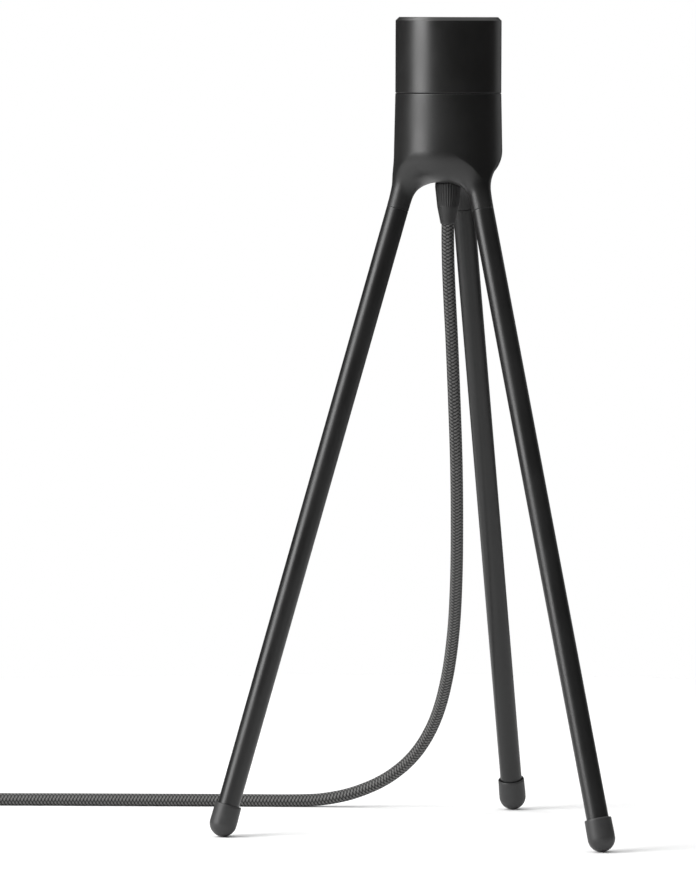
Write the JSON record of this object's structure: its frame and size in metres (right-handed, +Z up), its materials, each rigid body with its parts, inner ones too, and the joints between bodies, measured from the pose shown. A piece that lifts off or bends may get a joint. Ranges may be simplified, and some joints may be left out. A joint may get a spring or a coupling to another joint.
{
  "type": "tripod table lamp base",
  "caption": "Black tripod base of a table lamp, with a screw bulb socket under a shade collar, three slim legs, and a braided mains cord with switch and plug.",
  "frame": {"origin": "on the floor, straight below the hub's axis, where the three feet stand", "axes": "+Z up along the hub's axis; the cord leaves along -X behind the left leg"},
  "size_m": [0.4404, 0.219, 0.372],
  "materials": {
    "coated_metal": "satin fine powder coat on cast zinc",
    "leg_metal": "satin fine powder coat on steel tube",
    "collar_metal": "satin black coat on a turned sleeve",
    "foot_plastic": "smooth black elastomer",
    "grip_plastic": "ribbed black nylon",
    "black_plastic": "moulded black thermoset",
    "contact_block": "dark phenolic moulding",
    "nickel": "nickel plated",
    "brass": "bright brass",
    "steel": "zinc plated",
    "cord_textile": "braided black textile sheath",
    "tie_strap": "woven black strap",
    "switch_plastic": "moulded black plastic",
    "plug_plastic": "moulded black PVC",
    "wire_brown": "brown insulated wire",
    "wire_blue": "blue insulated wire"
  },
  "bodies": {
    "base": {"hub": "coated_metal", "hub_washer": "steel", "hub_nut": "brass", "grip_body": "grip_plastic", "grip_cap": "grip_plastic", "lampholder_dome": "black_plastic", "lampholder_skirt": "black_plastic", "lampholder_core": "contact_block", "screw_shell": "nickel", "terminals": "brass", "terminal_screws": "steel", "cord_end": "cord_textile", "wire_live": "wire_brown", "wire_neutral": "wire_blue", "cord_run": "cord_textile", "cord_lead": "cord_textile", "cord_coil": "cord_textile", "cord_tail": "cord_textile", "coil_tie": "tie_strap", "switch_base": "switch_plastic", "switch_cover": "switch_plastic", "switch_contacts": "brass", "switch_clamps": "black_plastic", "switch_screws": "steel", "plug_body": "plug_plastic", "plug_relief": "plug_plastic", "plug_pins": "nickel", "plug_sleeves": "black_plastic"},
    "collar_travel": {"collar_ring": "black_plastic"},
    "collar": {"collar": "collar_metal"},
    "stud_back": {"leg_stud_back": "steel"},
    "leg_back": {"leg_tube_back": "leg_metal", "leg_insert_back": "steel", "foot_back": "foot_plastic"},
    "stud_left": {"leg_stud_left": "steel"},
    "leg_left": {"leg_tube_left": "leg_metal", "leg_insert_left": "steel", "foot_left": "foot_plastic"},
    "stud_right": {"leg_stud_right": "steel"},
    "leg_right": {"leg_tube_right": "leg_metal", "leg_insert_right": "steel", "foot_right": "foot_plastic"},
    "rocker": {"switch_rocker": "switch_plastic", "switch_bridge": "brass"},
    "contact": {"centre_contact": "brass"}
  },
  "joints": [
    {"name": "collar_lift", "type": "slide", "parent": "base", "child": "collar_travel", "axis": [0, 0, 1], "range_m": [0, 0.0113]},
    {"name": "collar_turn", "type": "hinge", "parent": "collar_travel", "child": "collar", "pos_m": [0, 0, 0.35444], "axis": [0, 0, 1], "range_deg": [0, 1620]},
    {"name": "leg_back_travel", "type": "slide", "parent": "base", "child": "stud_back", "axis": [0.0838, 0.2626, -0.9613], "range_m": [0, 0.0119]},
    {"name": "leg_back_turn", "type": "hinge", "parent": "stud_back", "child": "leg_back", "pos_m": [0.00711, 0.02229, 0.28504], "axis": [0.0838, 0.2626, -0.9613], "range_deg": [0, 4320]},
    {"name": "leg_left_travel", "type": "slide", "parent": "base", "child": "stud_left", "axis": [-0.2693, -0.0587, -0.9613], "range_m": [0, 0.0119]},
    {"name": "leg_left_turn", "type": "hinge", "parent": "stud_left", "child": "leg_left", "pos_m": [-0.02286, -0.00498, 0.28504], "axis": [-0.2693, -0.0587, -0.9613], "range_deg": [0, 4320]},
    {"name": "leg_right_travel", "type": "slide", "parent": "base", "child": "stud_right", "axis": [0.1855, -0.2039, -0.9613], "range_m": [0, 0.0119]},
    {"name": "leg_right_turn", "type": "hinge", "parent": "stud_right", "child": "leg_right", "pos_m": [0.01575, -0.01731, 0.28504], "axis": [0.1855, -0.2039, -0.9613], "range_deg": [0, 4320]},
    {"name": "switch_rocker_tilt", "type": "hinge", "parent": "base", "child": "rocker", "pos_m": [-0.274, 0.1065, 0.0138], "axis": [0, 1, 0], "range_deg": [-14, 0]},
    {"name": "centre_contact_press", "type": "slide", "parent": "base", "child": "contact", "axis": [0, 0, -1], "range_m": [0, 0.0015], "stiffness_N_per_m": 2500}
  ],
  "couplings": [
    {"joint": "collar_lift", "follows": "collar_turn", "m_per_rad": 0.00039789},
    {"joint": "leg_back_turn", "follows": "leg_back_travel", "rad_per_m": 6283.2},
    {"joint": "leg_left_turn", "follows": "leg_left_travel", "rad_per_m": 6283.2},
    {"joint": "leg_right_turn", "follows": "leg_right_travel", "rad_per_m": 6283.2}
  ]
}
